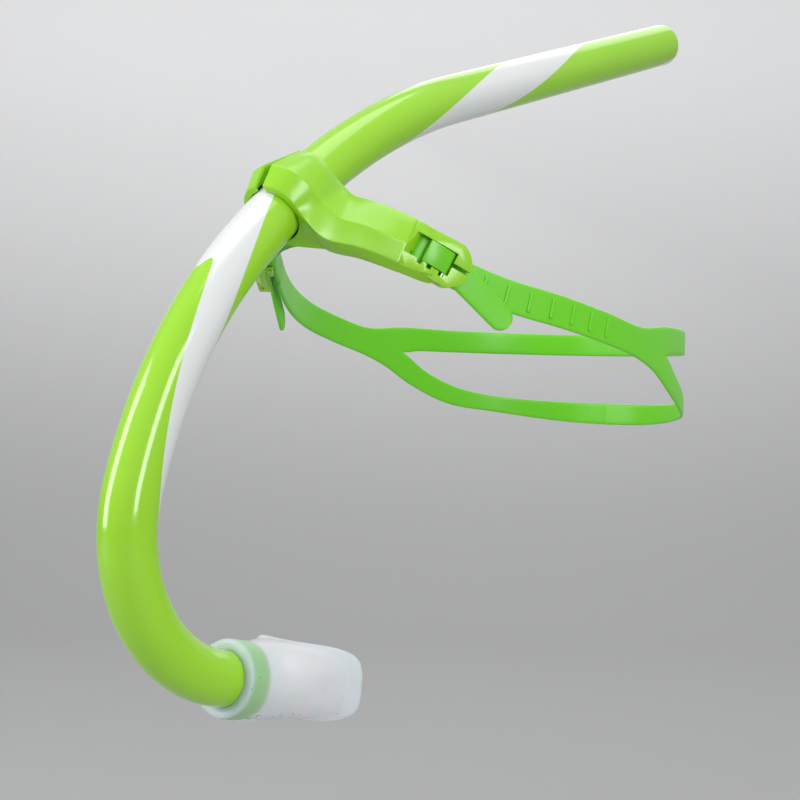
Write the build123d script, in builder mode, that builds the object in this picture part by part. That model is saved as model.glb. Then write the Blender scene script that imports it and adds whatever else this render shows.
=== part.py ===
"""Centre-mount swimming snorkel: a breathing tube held on the forehead by a bracket and a head strap.

Frame: origin where the forehead pad touches the forehead, +Z up, the wearer faces -Y,
and the wearer's left is +X. The tube's centre line lies in the plane x = 0. Millimetres.
"""
from build123d import *
from math import cos, sin, radians, degrees
import os

os.makedirs("parts", exist_ok=True)

# ---- driving dimensions ----------------------------------------------------------------------
# breathing tube
tube_od = 21.0
tube_wall = 1.5
tube_start = (-45.66, -168.11)     # (y, z) where the tube enters the mouthpiece lip
tube_heading = 168.67              # direction of the centre line there, degrees from +Y towards +Z
mouth_bend = (58.34, 94.32)        # radius and turn of each bend, from the mouth upwards
face_bend = (190.09, 29.36)
head_bend = (313.08, 27.44)
top_straight = 190.4
tube_insert = 11.0                 # length of tube inside the mouthpiece
rim_round = 0.6

# coupling ring between the tube and the mouthpiece
ring_od = 26.4
ring_length = 8.0
ring_setback = 1.6                 # from the mouthpiece lip to the ring

# mouthpiece
mouth_wall = 1.5                   # round the coupling ring
mouth_sleeve = 13.0                # round stretch behind the lip
mouth_passage = (26.0, 13.0)       # oval air passage at the flange
mouth_body = (44.0, 27.0)          # oval body at the flange
flange_size = (61.0, 29.0)
flange_thick = 2.0
flange_radius = 42.0               # curve of the flange round the teeth
flange_depth = 34.0                # lip to the flange's middle
flange_rise = 2.6                  # the flange's middle stands this far above the tube's axis
flange_tilt = 8.3                  # the flange looks up from the tube's axis
bite_tab = (9.0, 8.0, 12.0)        # width, height and reach of each bite tab
bite_spacing = 34.0                # between the two tabs' middles

# head bracket
collar_low, collar_high = 24.0, 50.0   # arc length after the start of the head bend
collar_ridge = 32.7
collar_low_wall = 2.6
collar_ridge_wall = 6.2
collar_high_wall = 1.6
notch_low, notch_ridge = 3.8, 2.3      # half widths of the V notch in the collar
notch_length = 22.0
band_radius = 52.0                 # plan curve of the bracket round the forehead
band_middle = 3.2                  # the band's back stands this far in front of the origin
band_thick = 2.2
pocket_wall = 2.3

# forehead pad: plan angle, then top and bottom of its face on the forehead as (distance from the
# plan centre, height)
pad_stations = (
    (0.0, (39.4, 16.5), (52.0, -5.5)),
    (8.0, (40.2, 15.8), (51.9, -5.9)),
    (14.0, (41.5, 14.0), (51.7, -6.4)),
    (20.0, (42.6, 12.0), (51.6, -7.2)),
    (28.0, (44.4, 9.8), (51.2, -8.6)),
)
pad_inset = (1.5, 3.5)             # the pad's edge stays this far inside the band's top and bottom

# buckles at the wing ends: lengths along the buckle are counted from the lever's middle
buckle_angle = 56.5                # place round the band's plan curve
buckle_drop = 10.0                 # below the origin
buckle_pitch = 27.0                # the buckle's axis falls towards the back
buckle_front, buckle_end = -14.0, 13.6
buckle_width = 18.0
buckle_height = 5.4
buckle_roof = 2.0
window_front = -9.6                # the lever's window starts here
window_ramp = 4.4                  # length of the sloping floor ahead of the window
slit_width = 1.8
slope_end_place = 6.0              # the wing's upper face runs out at the block's top edge here
lever_length, lever_width, lever_thick = 11.4, 8.8, 2.0
lever_pin_d = 1.6
lever_pin_inset = 1.5              # from the lever's rear end
lever_pin_place = (lever_length / 2 - lever_pin_inset, 3.4)    # along the buckle and out from its back
strap_bar_d = 1.8
strap_bar_place = (-7.6, -0.9)
ear_size = (4.4, 1.9)              # length and width of the ears that hold the bar

# head strap
strap_thick = 1.6
strap_width = 13.0
strap_back = 222.0                 # y of the strap's rearmost point
strap_side = 75.5                  # half width round the head
strap_centre = ((46.0, -22.2), (70.0, -28.3), (122.0, -38.8))     # (y, z) before it splits
strap_crotch = (142.0, -43.6)      # (y, z) where the two rear branches part
upper_branch_top = ((152.0, -31.2), (226.0, -32.6))
upper_branch_bottom = ((170.0, -43.0), (232.0, -43.4))
lower_branch_top = ((232.0, -68.0), (170.0, -58.5))
lower_branch_bottom = ((226.0, -80.0), (162.0, -68.5))
strap_ends = (8.0, 9.0)            # the straight layers behind the bar: inner one, tail side
tail_length, tail_width = 34.0, 10.5
tail_turn = -14.0                  # the tail hangs steeper than the buckle

# clearances
slide_gap = 0.3                    # tube in the collar
pad_gap = 0.6                      # tube in front of the forehead pad
swivel_gap = 0.05                  # mouthpiece round the ring and the tube
pin_gap = 0.05                     # levers round their pins
lever_gap = 0.4                    # lever in its window
strap_gap = 0.15                   # strap round its bar
channel_gap = 0.4                  # strap in the buckle's channel

tube_r = tube_od / 2
bore_r = tube_r - tube_wall
ring_r = ring_od / 2
sleeve_r = ring_r + mouth_wall


def direction(heading):
    return cos(radians(heading)), sin(radians(heading))


def turn(point, heading, bend, angle):
    """Point (y, z) and heading after turning clockwise along a bend through an angle."""
    radius = bend[0]
    centre = bend_centre(point, heading, bend)
    end = heading - angle
    return (centre[0] - radius * sin(radians(end)), centre[1] + radius * cos(radians(end))), end


def bend_centre(point, heading, bend):
    return point[0] + bend[0] * sin(radians(heading)), point[1] - bend[0] * cos(radians(heading))


face_start, face_heading = turn(tube_start, tube_heading, mouth_bend, mouth_bend[1])
head_start, head_heading = turn(face_start, face_heading, face_bend, face_bend[1])
top_start, top_heading = turn(head_start, head_heading, head_bend, head_bend[1])
adjust_axis = bend_centre(head_start, head_heading, head_bend)
print("tube adjust axis y, z", [round(v, 3) for v in adjust_axis])
print("tube top end y, z", [round(top_start[i] + top_straight * direction(top_heading)[i], 3) for i in (0, 1)],
      "heading", round(top_heading, 3))


def head_bend_plane(arc):
    """Plane square to the tube at an arc length along the head bend, z along the tube, y to the front."""
    angle = degrees(arc / head_bend[0])
    point, heading = turn(head_start, head_heading, head_bend, angle)
    along = direction(heading)
    return Plane(origin=(0, *point), x_dir=(1, 0, 0), z_dir=(0, *along))


# the mouth axis: z runs from the tube's start towards the teeth
mouth_dir = direction(tube_heading + 180)
mouth_plane = Plane(origin=(0, *tube_start), x_dir=(1, 0, 0), z_dir=(0, *mouth_dir))
flange_dir = direction(tube_heading + 180 + flange_tilt)
flange_plane = Plane(origin=mouth_plane.from_local_coords((0, -flange_rise, flange_depth)), x_dir=(1, 0, 0),
                     z_dir=(0, *flange_dir))
insert_end = tuple(tube_start[i] + tube_insert * mouth_dir[i] for i in (0, 1))

# ---- breathing tube --------------------------------------------------------------------------
# The tube is one moulding. It is built as a straight top and one span for each bend, which meet
# face to face, so that each span has a simple shape of its own.
def span_plane(point, heading):
    """Plane square to the tube at a point of its centre line, z along the tube."""
    return Plane(origin=(0, *point), x_dir=(1, 0, 0), z_dir=(0, *direction(heading)))


for name, start, heading, bend in (
    ("tube_mouth_bend", tube_start, tube_heading, mouth_bend),
    ("tube_face_bend", face_start, face_heading, face_bend),
    ("tube_head_bend", head_start, head_heading, head_bend),
):
    begins = insert_end if bend is mouth_bend else start
    with BuildPart() as span:
        with BuildLine(Plane.YZ) as route:
            if bend is mouth_bend:
                Line(insert_end, tube_start)
            JernArc(start, direction(heading), bend[0], -bend[1])
        with BuildSketch(span_plane(begins, heading)):
            Circle(tube_r)
            Circle(bore_r, mode=Mode.SUBTRACT)
        sweep(path=route.line)
    span.part.label = name
    export_step(span.part, f"parts/{name}.step")

with BuildPart() as tube:
    with BuildSketch(span_plane(top_start, top_heading)):
        Circle(tube_r)
        Circle(bore_r, mode=Mode.SUBTRACT)
    extrude(amount=top_straight)
    top_faces = tube.faces().sort_by(Axis(origin=(0, 0, 0), direction=(0, *direction(top_heading))))
    fillet(top_faces[-1].edges(), rim_round)
tube.part.label = "tube"
export_step(tube.part, "parts/tube.step")

# ---- coupling ring ---------------------------------------------------------------------------
with BuildPart() as coupling_ring:
    with BuildSketch(mouth_plane.offset(ring_setback)):
        Circle(ring_r)
        Circle(tube_r, mode=Mode.SUBTRACT)
    extrude(amount=ring_length)
    ring_edges = coupling_ring.edges().filter_by(GeomType.CIRCLE).group_by(SortBy.RADIUS)[-1]
    chamfer(ring_edges, 0.5)
coupling_ring.part.label = "coupling_ring"
export_step(coupling_ring.part, "parts/coupling_ring.step")

# ---- mouthpiece ------------------------------------------------------------------------------
groove_start = ring_setback - 0.1
groove_length = ring_length + 0.2
with BuildPart() as mouthpiece:
    with BuildSketch(mouth_plane):
        Circle(sleeve_r)
    extrude(amount=mouth_sleeve)
    fillet(mouthpiece.edges().sort_by(Axis(origin=(0, 0, 0), direction=(0, *mouth_dir)))[0], 0.7)
    with BuildSketch(mouth_plane.offset(mouth_sleeve)):
        Circle(sleeve_r)
    with BuildSketch(flange_plane.offset(1)):
        Ellipse(mouth_body[0] / 2, mouth_body[1] / 2)
    loft()
    with BuildPart(mode=Mode.PRIVATE) as flange:
        with BuildSketch(flange_plane.offset(-6)):
            RectangleRounded(*flange_size, flange_size[1] * 0.42)
        extrude(amount=30)
        flange_axis = Plane(origin=flange_plane.from_local_coords((0, 0, flange_radius)),
                            x_dir=(1, 0, 0), z_dir=flange_plane.y_dir)
        with BuildSketch(flange_axis.offset(-40)):
            Circle(flange_radius)
            Circle(flange_radius - flange_thick, mode=Mode.SUBTRACT)
        extrude(amount=80, mode=Mode.INTERSECT)
    add(flange.part)
    # nothing of the body stands through the flange on the mouth side
    with BuildSketch(flange_axis.offset(-40)):
        Circle(flange_radius - flange_thick)
    extrude(amount=80, mode=Mode.SUBTRACT)
    for side in (-1, 1):
        place = flange_plane.offset(2)
        with BuildSketch(place):
            with Locations((side * bite_spacing / 2, 0)):
                RectangleRounded(2.2, bite_tab[1], 0.9)
        extrude(amount=bite_tab[2])
        with BuildSketch(place.offset(bite_tab[2])):
            with Locations((side * (bite_spacing / 2 - 1), 0)):
                RectangleRounded(bite_tab[0] / 2, bite_tab[1] * 1.25, 1.6)
        extrude(amount=2.4)
    # air passage, ring groove and the neck round the tube
    with BuildSketch(mouth_plane):
        Circle(tube_r + swivel_gap)
    extrude(amount=tube_insert + 0.3, mode=Mode.SUBTRACT)
    with BuildSketch(mouth_plane.offset(groove_start)):
        Circle(ring_r + swivel_gap)
    extrude(amount=groove_length, mode=Mode.SUBTRACT)
    with BuildSketch(mouth_plane.offset(tube_insert)):
        Circle(bore_r)
    with BuildSketch(flange_plane.offset(4)):
        Ellipse(mouth_passage[0] / 2, mouth_passage[1] / 2)
    loft(mode=Mode.SUBTRACT)
mouthpiece.part.label = "mouthpiece"
export_step(mouthpiece.part, "parts/mouthpiece.step")

# ---- head bracket ----------------------------------------------------------------------------
# The band is lofted through upright radial sections of the forehead's plan curve. Each station
# holds its plan angle and the outer profile as (distance from the plan centre, height) for the
# top edge, the crease, the lip and the bottom edge.
band_stations = (
    (0.0, (43.0, 21.5), (70.0, 16.0), (76.0, 9.5), (66.0, -6.5)),
    (8.0, (45.5, 21.5), (70.0, 15.5), (75.5, 7.0), (64.0, -8.0)),
    (14.0, (48.3, 17.4), (67.8, 10.6), (72.2, -1.5), (61.8, -8.6)),
    (20.0, (48.6, 13.6), (64.0, 3.6), (67.0, -5.6), (60.0, -9.8)),
    (28.0, (50.2, 11.4), (61.4, 0.8), (63.2, -7.4), (58.2, -12.0)),
    (37.0, (52.2, 8.6), (60.0, -3.2), (60.4, -10.9), (56.8, -14.8)),
    (46.0, (53.8, 4.8), (59.0, -6.8), (58.8, -15.0), (55.4, -18.0)),
    (54.0, (55.2, 0.6), (58.3, -9.5), (57.6, -17.0), (54.6, -19.8)),
)
band_centre_y = band_radius - band_middle
plate_lean = 52.4                  # the plate behind the tube leans back from upright


def radial_plane(angle):
    """Upright plane through the band's plan centre: x outwards, y up."""
    out = Vector(sin(radians(angle)), -cos(radians(angle)), 0)
    return Plane(origin=(0, band_centre_y, 0), x_dir=out, z_dir=out.cross(Vector(0, 0, 1)))


def back_line(top, bottom, shift):
    """Top and bottom corners of the band's back, moved outwards from the head by a shift."""
    return (top[0] - band_thick + shift, top[1] - 0.8), (bottom[0] - band_thick + shift, bottom[1] + 0.4)


def buckle_plane():
    """Plane of a left buckle: x along it to the back, y across it upwards, z out from its back."""
    out = Vector(sin(radians(buckle_angle)), -cos(radians(buckle_angle)), 0)
    level = Vector(cos(radians(buckle_angle)), sin(radians(buckle_angle)), 0)
    along = level * cos(radians(buckle_pitch)) - Vector(0, 0, 1) * sin(radians(buckle_pitch))
    return Plane(origin=Vector(0, band_centre_y, -buckle_drop) + out * band_radius, x_dir=along, z_dir=out)


buckle = buckle_plane()
mirror_plane = Plane.YZ

# rounded end that carries the buckle; its upper front is cut off flush with the wing's upper face
with BuildPart() as buckle_block:
    with BuildSketch(buckle):
        with BuildLine():
            half = buckle_width / 2
            corner = buckle_width * 0.4
            Polyline((buckle_end - corner, half), (buckle_front, half), (buckle_front, -half),
                     (buckle_end - corner, -half))
            RadiusArc((buckle_end - corner, -half), (buckle_end, 0), -half * 1.02)
            RadiusArc((buckle_end, 0), (buckle_end - corner, half), -half * 1.02)
        make_face()
    extrude(amount=buckle_height)
    last_angle, last_top, last_crease = band_stations[-2][:3]
    slope_top = radial_plane(last_angle).from_local_coords((*last_top, 0))
    slope_crease = radial_plane(last_angle).from_local_coords((*last_crease, 0))
    slope_end = buckle.from_local_coords((slope_end_place, buckle_width / 2, buckle_height))
    slope_normal = (slope_end - slope_top).cross(slope_crease - slope_top).normalized()
    if slope_normal.dot(buckle.z_dir) < 0:
        slope_normal = slope_normal * -1
    with BuildSketch(Plane(origin=slope_top, z_dir=slope_normal)):
        Rectangle(120, 120)
    extrude(amount=30, mode=Mode.SUBTRACT)

with BuildPart() as wing:
    for angle, top, crease, lip, bottom in band_stations:
        high, low = back_line(top, bottom, 0)
        with BuildSketch(radial_plane(angle)):
            with BuildLine():
                Polyline(high, top, crease, lip, bottom, low, close=True)
            make_face()
    loft()
    add(buckle_block.part)

with BuildPart() as wing_core:
    for angle, top, crease, lip, bottom in band_stations[3:-1]:
        high, low = back_line(top, bottom, -1)
        with BuildSketch(radial_plane(angle)):
            with BuildLine():
                Polyline((high[0], high[1] - 1.6 * pocket_wall), (crease[0] - 1.5 * pocket_wall, crease[1] - 0.6),
                         (lip[0] - 1.2 * pocket_wall, lip[1] + 0.6 * pocket_wall),
                         (low[0], low[1] + 1.3 * pocket_wall), close=True)
            make_face()
    loft()

def cut_bend_bore(gap):
    """Cut a bore that follows the tube's head bend through the open part."""
    with BuildSketch(head_bend_plane(collar_low - 20)) as section:
        Circle(tube_r + gap)
    revolve(section.sketch, axis=Axis((0, *adjust_axis), (1, 0, 0)),
            revolution_arc=-degrees((collar_high - collar_low + 40) / head_bend[0]), mode=Mode.SUBTRACT)


# ---- forehead pad ----------------------------------------------------------------------------
with BuildPart() as forehead_pad:
    for (angle, head_top, head_bottom), (_, top, _, _, bottom) in zip(pad_stations, band_stations):
        high, low = back_line(top, bottom, 0)
        with BuildSketch(radial_plane(angle)):
            with BuildLine():
                Polyline((high[0], high[1] - pad_inset[0]), (low[0], low[1] + pad_inset[1]), head_bottom,
                         head_top, close=True)
            make_face()
    loft()
    mirror(about=mirror_plane)
    cut_bend_bore(pad_gap)
forehead_pad.part.label = "forehead_pad"
export_step(forehead_pad.part, "parts/forehead_pad.step")

plate_normal = Vector(0, -cos(radians(plate_lean)), sin(radians(plate_lean)))
plate_across = Vector(0, sin(radians(plate_lean)), cos(radians(plate_lean)))
plate_back = Plane(origin=(0, -band_middle, 4.2), x_dir=plate_across, z_dir=plate_across.cross(plate_normal))
with BuildPart() as collar:
    for low, high, low_wall, high_wall in (
        (collar_low, collar_ridge, collar_low_wall, collar_ridge_wall),
        (collar_ridge, collar_high, collar_ridge_wall, collar_high_wall),
    ):
        with BuildSketch(head_bend_plane(low)):
            Circle(tube_r + low_wall)
        with BuildSketch(head_bend_plane(high)):
            Circle(tube_r + high_wall)
        loft(ruled=True)
    # flat back behind the tube
    with BuildSketch(plate_back):
        with Locations((0, -10)):
            Rectangle(60, 20)
    extrude(amount=30, both=True, mode=Mode.SUBTRACT)
    # V notch in the front
    notch = head_bend_plane(collar_low)
    with BuildSketch(Plane(origin=notch.origin, x_dir=(1, 0, 0), z_dir=-notch.y_dir)):
        rise = collar_ridge - collar_low
        with BuildLine():
            Polyline((-notch_low - 0.6, -3), (-notch_low, 0), (-notch_ridge, rise), (0, notch_length),
                     (notch_ridge, rise), (notch_low, 0), (notch_low + 0.6, -3), close=True)
        make_face()
    extrude(amount=30, mode=Mode.SUBTRACT)

window_back = lever_length / 2 + lever_gap
window_width = lever_width + 2 * lever_gap
buckle_side = Plane(origin=buckle.origin, x_dir=buckle.x_dir, z_dir=-buckle.y_dir)
with BuildPart() as head_bracket:
    add(wing.part)
    add(wing_core.part, mode=Mode.SUBTRACT)
    # the strap's channel
    with BuildSketch(buckle.offset(-4)):
        with Locations((5, 0)):
            Rectangle(28, strap_width + 2 * channel_gap)
    extrude(amount=buckle_height - buckle_roof + 4, mode=Mode.SUBTRACT)
    # the lever's window with the ramp at its front
    with BuildSketch(buckle_side):
        with BuildLine():
            Polyline((window_front, -2), (window_front, buckle_roof), (window_front - window_ramp, buckle_height),
                     (window_front - window_ramp, 12), (window_back, 12), (window_back, -2), close=True)
        make_face()
    extrude(amount=window_width / 2, both=True, mode=Mode.SUBTRACT)
    # the slit that lets the strap be slipped in, and the notches beside the lever
    with BuildSketch(buckle.offset(-4)):
        with Locations((window_back + 9, 0)):
            Rectangle(20, slit_width)
    extrude(amount=buckle_height + 8, mode=Mode.SUBTRACT)
    with BuildSketch(buckle.offset(buckle_height - buckle_roof)):
        with Locations(*[(place, -window_width / 2) for place in (-6.6, -2.4, 3.4)]):
            Rectangle(2.2, 3.0)
    extrude(amount=buckle_height, mode=Mode.SUBTRACT)
    # ears for the strap bar
    with BuildSketch(buckle.offset(strap_bar_place[1] - strap_bar_d)):
        for side in (-1, 1):
            with Locations((strap_bar_place[0], side * (buckle_width - ear_size[1]) / 2)):
                Rectangle(*ear_size)
    extrude(amount=strap_bar_d - strap_bar_place[1] + 2)
    # holes for the lever pin and the strap bar
    for place, diameter in ((lever_pin_place, lever_pin_d), (strap_bar_place, strap_bar_d)):
        with BuildSketch(buckle_side):
            with Locations(place):
                Circle(diameter / 2)
        extrude(amount=buckle_width, both=True, mode=Mode.SUBTRACT)
    mirror(about=mirror_plane)
    add(collar.part)
    cut_bend_bore(slide_gap)
    # seat of the forehead pad
    add(forehead_pad.part, mode=Mode.SUBTRACT)
head_bracket.part.label = "head_bracket"
export_step(head_bracket.part, "parts/head_bracket.step")
print("bracket solids", len(head_bracket.part.solids()), "volume", round(head_bracket.part.volume))

# ---- buckle levers, their pins and the strap bars --------------------------------------------
knuckle_r = lever_thick * 0.75
lever_top = buckle_height + 0.2
with BuildPart() as lever:
    with BuildSketch(buckle_side):
        front = -lever_length / 2
        back = lever_length / 2
        with BuildLine():
            knuckle_top = (lever_pin_place[0], lever_pin_place[1] + knuckle_r - 0.2)
            rear_top = (back - 0.6, lever_pin_place[1] + knuckle_r - 0.3)
            Polyline(knuckle_top, (front, lever_top - lever_thick), (front, lever_top))
            RadiusArc((front, lever_top), rear_top, lever_length * 2)
            Polyline(rear_top, (back - 0.3, lever_pin_place[1]), lever_pin_place, knuckle_top)
        make_face()
        with Locations(lever_pin_place):
            Circle(knuckle_r)
        with Locations((front + 1.2, buckle_height - lever_thick)):
            Rectangle(1.2, 1.4)
    extrude(amount=lever_width / 2, both=True)
    with BuildSketch(buckle_side):
        with Locations(lever_pin_place):
            Circle(lever_pin_d / 2 + pin_gap)
    extrude(amount=lever_width, both=True, mode=Mode.SUBTRACT)

with BuildPart() as lever_pin:
    with BuildSketch(buckle_side):
        with Locations(lever_pin_place):
            Circle(lever_pin_d / 2)
    extrude(amount=buckle_width / 2 - 0.8, both=True)

with BuildPart() as strap_bar:
    with BuildSketch(buckle_side):
        with Locations(strap_bar_place):
            Circle(strap_bar_d / 2)
    extrude(amount=buckle_width / 2 - 0.2, both=True)

for name, piece in (("buckle_lever", lever.part), ("lever_pin", lever_pin.part), ("strap_bar", strap_bar.part)):
    for side, solid in (("left", piece), ("right", piece.mirror(mirror_plane))):
        solid.label = f"{name}_{side}"
        export_step(solid, f"parts/{name}_{side}.step")

# ---- head strap ------------------------------------------------------------------------------
loop_r = strap_bar_d / 2 + strap_gap
layer = loop_r + strap_thick / 2                       # from the bar to the middle of each layer
inner_out = strap_bar_place[1] - layer
tail_out = strap_bar_place[1] + layer
leave = buckle.from_local_coords((2.0, 0, inner_out))
level = Vector(cos(radians(buckle_angle)), sin(radians(buckle_angle)), 0)
straight_end = leave + level * 8
with BuildPart() as strap_plan:
    with BuildSketch():
        with BuildLine():
            Line((leave.X, leave.Y), (straight_end.X, straight_end.Y))
            Spline((straight_end.X, straight_end.Y), (68.0, 70.0), (strap_side, 120.0), (66.0, 176.0), (38.0, 211.0),
                   (0, strap_back), tangents=((level.X, level.Y), (-1, 0)))
        trace(line_width=strap_thick)
    extrude(amount=120, both=True)
half = strap_width / 2
with BuildPart() as head_strap:
    with BuildSketch(Plane.YZ):
        with BuildLine():
            start = (leave.Y - 3, leave.Z)
            first, middle, flare = strap_centre
            upper = [(y, z + half) for y, z in (start, first, middle, flare)]
            lower = [(y, z - half) for y, z in (flare, middle, first, start)]
            Spline(*upper, tangents=((1, -0.6), (1, -0.1)))
            Spline(upper[-1], *upper_branch_top, tangents=((1, -0.1), (1, 0)))
            Line(upper_branch_top[-1], lower_branch_bottom[0])
            Spline(*lower_branch_bottom, lower[0], tangents=((-1, 0), (-1, 0.5)))
            Spline(*lower, tangents=((-1, 0.5), (-1, 0.6)))
            Line(lower[-1], upper[0])
        make_face()
        # the gap between the two rear branches
        with BuildLine():
            Spline(strap_crotch, *upper_branch_bottom, tangents=((1, 0.1), (1, 0)))
            Line(upper_branch_bottom[-1], lower_branch_top[0])
            Spline(*lower_branch_top, strap_crotch, tangents=((-1, 0), (-1, 1)))
        make_face(mode=Mode.SUBTRACT)
    extrude(amount=100)
    add(strap_plan.part, mode=Mode.INTERSECT)
    # the loop round the bar and the layers that lie in the buckle
    with BuildSketch(buckle_side):
        with Locations(strap_bar_place):
            Circle(loop_r + strap_thick)
        with Locations((strap_bar_place[0] + 10, strap_bar_place[1])):
            Rectangle(20, 20, mode=Mode.SUBTRACT)
        with Locations(((strap_bar_place[0] + strap_ends[0]) / 2, inner_out)):
            Rectangle(strap_ends[0] - strap_bar_place[0], strap_thick - 0.2)
        with Locations(((strap_bar_place[0] + strap_ends[1]) / 2, tail_out)):
            Rectangle(strap_ends[1] - strap_bar_place[0], strap_thick)
        with Locations(strap_bar_place):
            Circle(loop_r, mode=Mode.SUBTRACT)
    extrude(amount=half - 0.3, both=True)
    tail_plane = Plane(origin=buckle.from_local_coords((strap_ends[1] - 3, 0, tail_out)),
                       x_dir=buckle.x_dir, z_dir=buckle.z_dir)
    with BuildSketch(tail_plane.offset(-strap_thick / 2 + 0.1)):
        with Locations(Location((0, 0, 0), (0, 0, tail_turn))):
            with Locations((tail_length / 2, 0)):
                SlotOverall(tail_length, tail_width)
    extrude(amount=strap_thick - 0.2)
    mirror(about=mirror_plane)
head_strap.part.label = "head_strap"
export_step(head_strap.part, "parts/head_strap.step")
print("strap solids", len(head_strap.part.solids()), "volume", round(head_strap.part.volume))
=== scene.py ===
"""Looks of a centre-mount swim snorkel, built as a Blender add-on and run as a script."""
import math

import bmesh
import bpy
from bpy.props import FloatProperty, FloatVectorProperty, IntProperty, PointerProperty
from mathutils import Matrix, Vector


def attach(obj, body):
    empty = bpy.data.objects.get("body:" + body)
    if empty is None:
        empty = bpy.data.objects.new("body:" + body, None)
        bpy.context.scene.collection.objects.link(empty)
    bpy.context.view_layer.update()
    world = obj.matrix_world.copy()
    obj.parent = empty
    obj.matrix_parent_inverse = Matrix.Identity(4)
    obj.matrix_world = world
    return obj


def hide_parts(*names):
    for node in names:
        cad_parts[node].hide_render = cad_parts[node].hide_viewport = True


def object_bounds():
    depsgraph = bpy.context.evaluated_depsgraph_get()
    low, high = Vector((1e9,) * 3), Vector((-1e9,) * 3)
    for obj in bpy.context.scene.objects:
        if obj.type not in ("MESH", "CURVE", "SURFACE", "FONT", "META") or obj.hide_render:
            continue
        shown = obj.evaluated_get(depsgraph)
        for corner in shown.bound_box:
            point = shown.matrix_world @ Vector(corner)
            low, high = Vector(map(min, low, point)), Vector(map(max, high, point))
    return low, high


bl_info = {
    "name": "Swim Snorkel",
    "version": (1, 0, 0),
    "blender": (4, 5, 0),
    "location": "View3D > Sidebar > Snorkel",
    "description": "Finished look of a centre-mount swim snorkel on its packed frame",
    "category": "Object",
}

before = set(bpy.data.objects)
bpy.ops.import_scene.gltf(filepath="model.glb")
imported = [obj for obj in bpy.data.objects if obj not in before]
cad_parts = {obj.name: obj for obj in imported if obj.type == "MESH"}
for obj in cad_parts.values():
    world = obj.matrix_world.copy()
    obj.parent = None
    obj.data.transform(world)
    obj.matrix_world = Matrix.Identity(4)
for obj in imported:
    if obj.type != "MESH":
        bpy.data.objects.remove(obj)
cad_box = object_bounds()
MM = 0.001

# ---- the snorkel's own geometry, in millimetres -------------------------------------------------
TUBE_START = (-45.66, -168.11)
TUBE_HEADING = 168.67
TUBE_BENDS = ((58.34, 94.32), (190.09, 29.36), (313.08, 27.44))
TUBE_TOP = 190.4
TUBE_INSERT = 11.0
TUBE_OUTER, TUBE_BORE, TUBE_RIM = 10.5, 9.0, 0.6
HEAD_BEND = sum(math.radians(turned) * radius for radius, turned in TUBE_BENDS[:2])
TUBE_END = HEAD_BEND + math.radians(TUBE_BENDS[2][1]) * TUBE_BENDS[2][0] + TUBE_TOP
BAND_RADIUS = 52.0
BAND_CENTRE = 48.8
BUCKLE_ANGLE, BUCKLE_PITCH, BUCKLE_DROP = 56.5, 27.0, 10.0


def tube_station(along):
    """Centre (y, z) and heading of the tube at a length from the mouthpiece lip."""
    y, z = TUBE_START
    heading = TUBE_HEADING
    left = along
    if left > 0:
        for radius, turned in TUBE_BENDS:
            angle = min(left / radius, math.radians(turned))
            start = math.radians(heading)
            end = start - angle
            y += radius * (math.sin(start) - math.sin(end))
            z -= radius * (math.cos(start) - math.cos(end))
            heading = math.degrees(end)
            left -= angle * radius
            if left <= 1e-9:
                return y, z, heading
    return y + left * math.cos(math.radians(heading)), z + left * math.sin(math.radians(heading)), heading


def tube_point(along, radius, around):
    """Point round the tube; the angle runs from the outer side of the bends towards +X."""
    y, z, heading = tube_station(along)
    turned = math.radians(heading)
    out = Vector((0, -math.sin(turned), math.cos(turned)))
    return Vector((0, y, z)) + radius * (math.cos(around) * out + math.sin(around) * Vector((1, 0, 0)))


def band_point(angle, distance, height):
    """Point in an upright radial plane of the forehead's plan curve."""
    turned = math.radians(angle)
    return Vector((distance * math.sin(turned), BAND_CENTRE - distance * math.cos(turned), height))


def buckle_frame():
    """Origin of the left buckle and its directions: along, across, out, and level towards the back."""
    turned, pitch = math.radians(BUCKLE_ANGLE), math.radians(BUCKLE_PITCH)
    out = Vector((math.sin(turned), -math.cos(turned), 0))
    level = Vector((math.cos(turned), math.sin(turned), 0))
    along = level * math.cos(pitch) - Vector((0, 0, 1)) * math.sin(pitch)
    origin = Vector((0, BAND_CENTRE, -BUCKLE_DROP)) + out * BAND_RADIUS
    return origin, along, out.cross(along), out, level


B_ORIGIN, B_ALONG, B_ACROSS, B_OUT, B_LEVEL = buckle_frame()


def buckle_point(along, across, out):
    """Point in the left buckle's frame."""
    return B_ORIGIN + B_ALONG * along + B_ACROSS * across + B_OUT * out


def smoothstep(value):
    """Soft change from 0 to 1."""
    value = min(max(value, 0.0), 1.0)
    return value * value * (3 - 2 * value)


def spline(points, per_span):
    """Centripetal spline through points, with a number of steps to each span."""
    ends = [points[0] * 2 - points[1]] + list(points) + [points[-1] * 2 - points[-2]]
    line = []
    for i in range(1, len(ends) - 2):
        p = ends[i - 1:i + 3]
        knots = [0.0]
        for a, b in zip(p, p[1:]):
            knots.append(knots[-1] + max((b - a).length, 1e-6) ** 0.5)
        for step in range(per_span):
            t = knots[1] + (knots[2] - knots[1]) * step / per_span
            a = [((knots[k + 1] - t) * p[k] + (t - knots[k]) * p[k + 1]) / (knots[k + 1] - knots[k])
                 for k in range(3)]
            b = [((knots[k + 2] - t) * a[k] + (t - knots[k]) * a[k + 1]) / (knots[k + 2] - knots[k])
                 for k in range(2)]
            line.append(((knots[2] - t) * b[0] + (t - knots[1]) * b[1]) / (knots[2] - knots[1]))
    line.append(points[-1].copy())
    return line


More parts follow.
